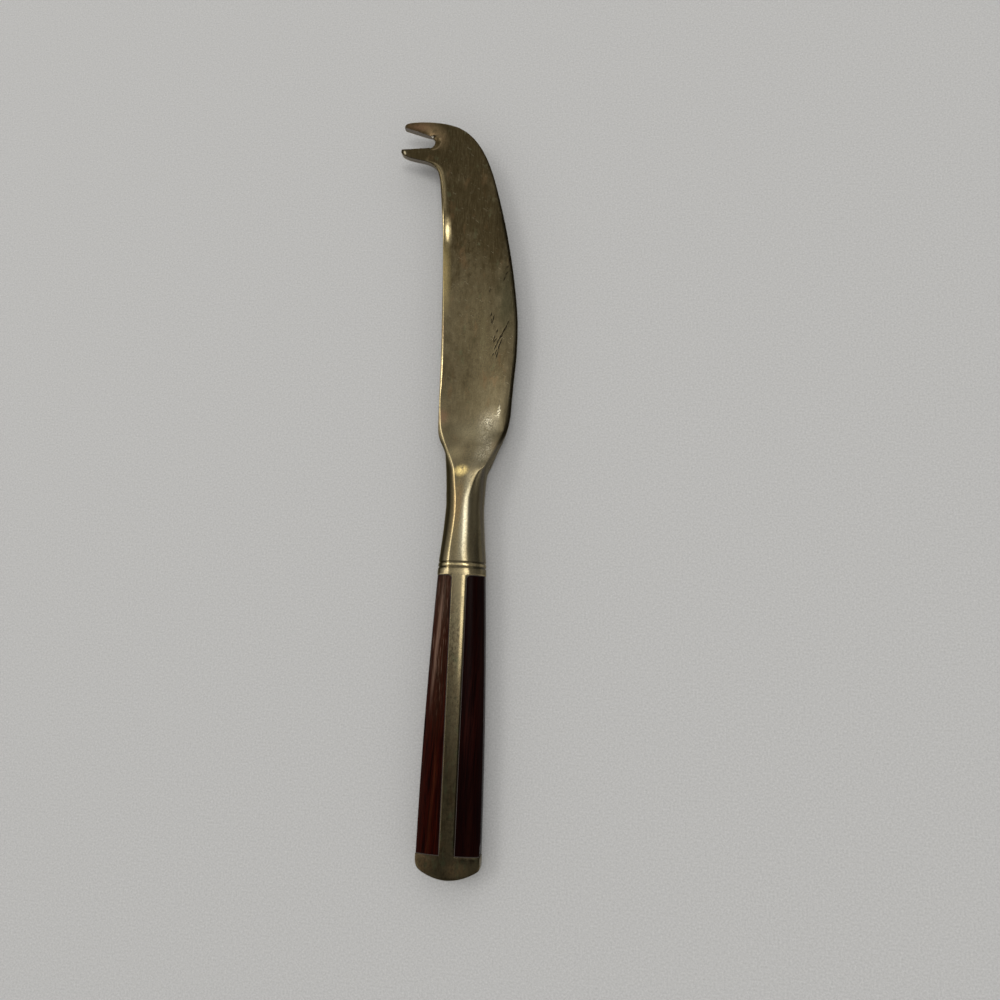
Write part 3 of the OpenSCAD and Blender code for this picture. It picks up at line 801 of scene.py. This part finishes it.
# Scratches: rows of short dark dashes near the cutting edge, and faint pale ones all over the blade.
# Each dash has its place, its length and its lean.
dashes = (
    (10.0, 151.1, 2.4, -0.4), (9.25, 149.3, 3.4, -0.37), (8.65, 148.2, 3.8, -0.32), (8.15, 145.3, 4.0, -0.3),
    (7.7, 144.0, 3.8, -0.25), (7.2, 141.4, 4.0, -0.23), (6.5, 145.8, 2.4, -0.6), (6.2, 146.3, 2.8, -0.21),
    (6.7, 143.9, 2.9, -0.38), (5.8, 152.5, 3.4, -0.17), (5.35, 151.5, 2.4, 0.18), (9.1, 166.3, 2.3, -0.5),
    (8.5, 164.6, 2.5, -0.35), (9.75, 170.5, 2.4, -0.2), (4.4, 160.9, 1.6, -0.1), (7.9, 146.8, 2.8, -0.35),
    (7.3, 145.4, 3.0, -0.3), (6.9, 142.2, 2.8, -0.25), (8.3, 147.0, 2.0, -0.5), (9.6, 150.0, 2.0, -0.2),
    (5.1, 153.6, 1.8, -0.1), (7.0, 148.6, 1.8, -0.2), (6.1, 141.6, 1.6, -0.5), (9.3, 168.4, 1.8, -0.6),
)
dash_w = 0.5
dark_marks = bronze.spots(*((at_x, at_y, dash_w, length, lean, 0.7) for at_x, at_y, length, lean in dashes))
breaks = bronze.ramp(bronze.noise(bronze.stretched(0.45, 0.8), 2, 0.6), 0.22, 0.42)
dark_marks = bronze.times(dark_marks, breaks)
bronze.coat(dark_marks, 1, (0.007, 0.005, 0.003))
pale_marks = bronze.ramp(bronze.noise(bronze.stretched(2.2, 0.08, 1, 0.55), 1, 0.4), 0.74, 0.78)
pale_marks = bronze.times(pale_marks, bronze.ramp(along, 0.01, 0.03))
nicks = bronze.spots((8.6, 125.8, 0.4, 2.6, -0.1, 0.6), (6.4, 121, 0.5, 1.8, 1.2, 0.6),
                     (7.6, 123.4, 0.4, 1.5, 0.6, 0.6))
bronze.coat(bronze.most(pale_marks, nicks), 0.5, (0.45, 0.41, 0.3))

# The finish: satin, duller where it is worn and under the painted shade and tarnish, with soft ripples,
# brushed lines and fine pits.
roughness = bronze.math("MULTIPLY_ADD", clouds, 0.14, 0.08)
for share, strength in ((mottle, 0.07), (worn_and_sheen, 0.14), (shade_and_tarnish, 0.1)):
    roughness = bronze.plus(roughness, bronze.times(share, strength))
normal = bronze.bump(bronze.noise(bronze.stretched(5, 9), 1, 0.4), 0.03)
for height, depth in ((brush, 0.0012), (speck, 0.004), (bronze.times(grit, worn_and_sheen), 0.02), (dark_marks, -0.02)):
    normal = bronze.bump(height, depth, normal)
bronze.coat(bronze.ramp(speck, 0.42, 0.66), 1, (0.66, 0.66, 0.66), "MULTIPLY")
grainy = bronze.times(bronze.spot(2, 98, 16, 48, 0, 0.6), bronze.ramp(grit, 0.42, 0.64))
bronze.coat(grainy, 0.45, (0.45, 0.45, 0.45), "MULTIPLY")
glare = (0.82, 0.75, 0.58)
bronze.look(Roughness=roughness, Normal=normal, Metallic=1, Specular_Tint=glare)
casting.data.materials.append(bronze.material)
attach(casting, "root")
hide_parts("cast_body")


# The two wooden inlays, one along each side of the handle, sawn from dark red rosewood.
# Each is bedded in its recess and filed down with the metal until the two lie almost flush.
inlay_start_y, inlay_corner_y = cap_l + bed_t, recess_end_y - bed_t - inlay_corner_r
inlay_y = np.concatenate([
    mix(inlay_start_y, cap_l + 1.0, 1 - np.cos(np.linspace(0, np.pi / 2, 8))),
    np.linspace(cap_l + 1.0, inlay_corner_y, 60)[1:],
    inlay_corner_y + inlay_corner_r * np.sin(np.linspace(0, np.pi / 2, 12))[1:],
])
across = both_ends(36)


def inlay_face(under):
    """One face of an inlay: across from the bar to the side, at the height of the metal less a small step.

    The flank falls as one less the power of a quarter circle's height. The corner by the bar and the collar
    is a quarter circle in plan, and the edges are rounded by a tenth of a millimetre.
    """
    y = col(inlay_y)
    half_w, half_t = handle_half_w(y) - inlay_step, mid_z(y) - inlay_step
    past = np.clip(y - inlay_corner_y, 0, None)
    inner = strip_half_w + bed_t + inlay_corner_r - np.sqrt(np.clip(inlay_corner_r ** 2 - past ** 2, 0, None))
    x = inner + (half_w - inner) * across[None, :]
    width = (half_w - through_table(edge_border, y)) * (through_table(under_share, y) if under else 1)
    wall = through_table(wall_share, y) * half_t
    z = half_t - (half_t - wall) * flank(half_w - x, width, through_table(flank_power, y), 0.0, 0.3)
    ends = np.minimum(y - inlay_y[0], inlay_y[-1] - y)
    z = z - 0.12 * (rounding(x - inner, 0.22) ** 2 + rounding(ends, 0.22) ** 2) ** 0.5
    return x, np.broadcast_to(y, x.shape), z


def inlay(name, side):
    """A closed inlay: its two faces, the walls that join them and its two ends.

    Side is 1 on the edge side and -1 on the spine side.
    """
    faces = []
    for under in (False, True):
        x, y, z = inlay_face(under)
        faces.append(to_metres(x * side, y, mid_z(y) + (-z if under else z)))
    top, under = faces
    return solid_of(name, [
        (top, side < 0), (under, side > 0), (wall(under[:, 0], top[:, 0]), side < 0),
        (wall(under[:, -1], top[:, -1]), side > 0), (wall(under[0], top[0]), side > 0),
        (wall(under[-1], top[-1]), side < 0),
    ])


wood = Shader("rosewood")
grain = wood.noise(wood.stretched(0.42, 14, 0.8, 0.03), 5, 0.7, 0.9)
figure = wood.noise(wood.stretched(2.2, 50, 3, 0.03), 3, 0.5, 0.8)
pores = wood.noise(wood.stretched(0.13, 2.6, 0.13), 2, 0.5)
wood.colour = wood.blend(wood.ramp(grain, 0.36, 0.66), (0.004, 0.0006, 0.0004), (0.024, 0.0026, 0.0009))
wood.coat(wood.ramp(figure, 0.5, 0.72), 0.5, (0.05, 0.012, 0.005))
wood.coat(wood.ramp(pores, 0.56, 0.68), 0.8, (0.004, 0.002, 0.0015))
# The spine side is painted paler, as lit by the window on the left, most towards the ring, with fine hairs of
# grain and one pale streak of painted sheen.
wood.coat(wood.spot(-4.6, 62, 8, 70), 0.4, (0.05, 0.022, 0.011))
ring_ward = wood.times(wood.spot(-4, 73, 5, 22, -0.05), wood.ramp(pores, 0.35, 0.6))
wood.coat(ring_ward, 0.45, (0.1, 0.068, 0.046))
streak = wood.times(wood.spot(-5.2, 60.5, 1.6, 44, -0.065, 0.9), wood.ramp(grain, 0.3, 0.6))
wood.coat(streak, 0.75, (0.2, 0.12, 0.085))
hairs = wood.ramp(wood.noise(wood.stretched(0.2, 7, 0.2, 0.03), 2, 0.6), 0.56, 0.68)
hairs = wood.times(hairs, wood.spot(-4.6, 64, 9, 62, 0, 0.8))
wood.coat(hairs, 0.65, (0.15, 0.095, 0.065))
# The edge side is painted darker, as shade on the side away from the window, a little warmer halfway along.
edge_side_wood = wood.ramp(wood.add("SeparateXYZ", 0, wood.place), 0.004, 0.007)
wood.coat(edge_side_wood, 0.78, (0.0022, 0.0004, 0.0004))
warm = wood.times(wood.spot(4.6, 42, 6, 52), wood.ramp(figure, 0.35, 0.6))
warm = wood.times(warm, wood.ramp(grain, 0.35, 0.6))
wood.coat(warm, 0.6, (0.03, 0.006, 0.004))
dullness = wood.plus(wood.times(grain, 0.2), 0.12)
fibres = wood.bump(pores, 0.008, wood.bump(grain, 0.02))
wood.look(Roughness=dullness, Normal=fibres, Specular_IOR_Level=0.022)
for name, node, side in (
    ("spine_side_wood", "spine_side_inlay", -1),
    ("edge_side_wood", "edge_side_inlay", 1),
):
    piece = inlay(name, side)
    piece.data.materials.append(wood.material)
    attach(piece, "root")
    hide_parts(node)


# The adhesive beds: a thin layer of dark glue that holds each inlay in its recess.
# It is spread before the wood is pressed in, and shows as a dark line. Their solids stay as they are.
glue = Shader("glue")
film = glue.noise(glue.stretched(0.5, 1.5), 3, 0.6)
glue.colour = glue.blend(film, (0.012, 0.008, 0.006), (0.04, 0.026, 0.017))
glue.look(Roughness=0.6)
for node in ("spine_side_adhesive", "edge_side_adhesive"):
    for material_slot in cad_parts[node].material_slots:
        material_slot.material = glue.material


# The table that the knife lies on: one flat sheet, pale, matt and very finely speckled.
# It reaches far beyond the knife, so that the shadow falls on it from every side.
table_half = 2.5
corners = np.array([[[-1, -1, 0], [1, -1, 0]], [[-1, 1, 0], [1, 1, 0]]]) * table_half
table = solid_of("table", [(corners, False)])
stone = Shader("table")
fleck = stone.noise(stone.stretched(0.5, 0.5), 2, 0.7)
stone.colour = stone.blend(fleck, (0.328, 0.327, 0.324), (0.641, 0.639, 0.633))
stone.look(Roughness=0.6, Normal=stone.bump(fleck, 0.03))
table.data.materials.append(stone.material)


# A room with pale walls, with a soft lamp above and a small window on the left.
# It is made as the light that comes from each direction: a level that falls from the walls to the ceiling,
# and round lights on top of it, which the metal shows as its highlights.
room = bpy.data.worlds.new("room")
bpy.context.scene.world = room
room.use_nodes = True
nodes, links = room.node_tree.nodes, room.node_tree.links
toward = nodes.new("ShaderNodeTexCoord").outputs["Generated"]
upward = nodes.new("ShaderNodeSeparateXYZ")
links.new(toward, upward.inputs[0])
level = nodes.new("ShaderNodeMapRange")
links.new(upward.outputs["Z"], level.inputs[0])
level.interpolation_type = "SMOOTHSTEP"
for socket, value in zip(level.inputs[1:5], (0.45, 0.8, 0.92, 0.27)):
    socket.default_value = value
level = level.outputs[0]
# Each light has its tilts in degrees from straight up, to the right and away from the butt, the angles from
# its middle where it begins to fade and where it ends, and its strength.
for right_tilt, far_tilt, inner, outer, strength in (
    (-6, 12, 2, 26, 0.75),
    (-10, 40, 6, 30, 0.46),
    (9, 7, 6, 16, 3.6),
    (-42, 12, 7, 14, 3.0),
    (-40, 29, 5, 11, 3.2),
    (10, 64, 10, 34, 0.4),
):
    aim = np.array([math.tan(math.radians(right_tilt)), math.tan(math.radians(far_tilt)), 1])
    dot, lobe, add = (nodes.new("ShaderNode" + kind) for kind in ("VectorMath", "MapRange", "Math"))
    dot.operation, lobe.interpolation_type = "DOT_PRODUCT", "SMOOTHSTEP"
    links.new(toward, dot.inputs[0])
    dot.inputs[1].default_value = aim / np.linalg.norm(aim)
    links.new(dot.outputs["Value"], lobe.inputs[0])
    ends = math.cos(math.radians(outer)), math.cos(math.radians(inner))
    for socket, value in zip(lobe.inputs[1:5], (*ends, 0, strength)):
        socket.default_value = value
    links.new(lobe.outputs[0], add.inputs[0])
    links.new(level, add.inputs[1])
    level = add.outputs[0]
background = nodes["Background"]
background.inputs["Color"].default_value = (1, 0.99, 0.97, 1)
links.new(level, background.inputs["Strength"])


# The camera stands above the handle, a little to the right, and looks down on the knife.
# Its turn is given by the directions that are right, up and back in the picture.
view = bpy.data.cameras.new("camera")
view.lens, view.sensor_width, view.clip_start = 28.8, 36, 0.01
camera = bpy.data.objects.new("camera", view)
bpy.context.collection.objects.link(camera)
right, up, back = (0.99165, 0.04175, -0.12205), (-0.01949, 0.98381, 0.17819), (0.12752, -0.17433, 0.97640)
turn = Matrix((right, up, back)).transposed().to_4x4()
camera.matrix_world = Matrix.Translation((0.04399, -0.04688, 0.22145)) @ turn
bpy.context.scene.camera = camera
bpy.context.scene.view_settings.view_transform = "Standard"
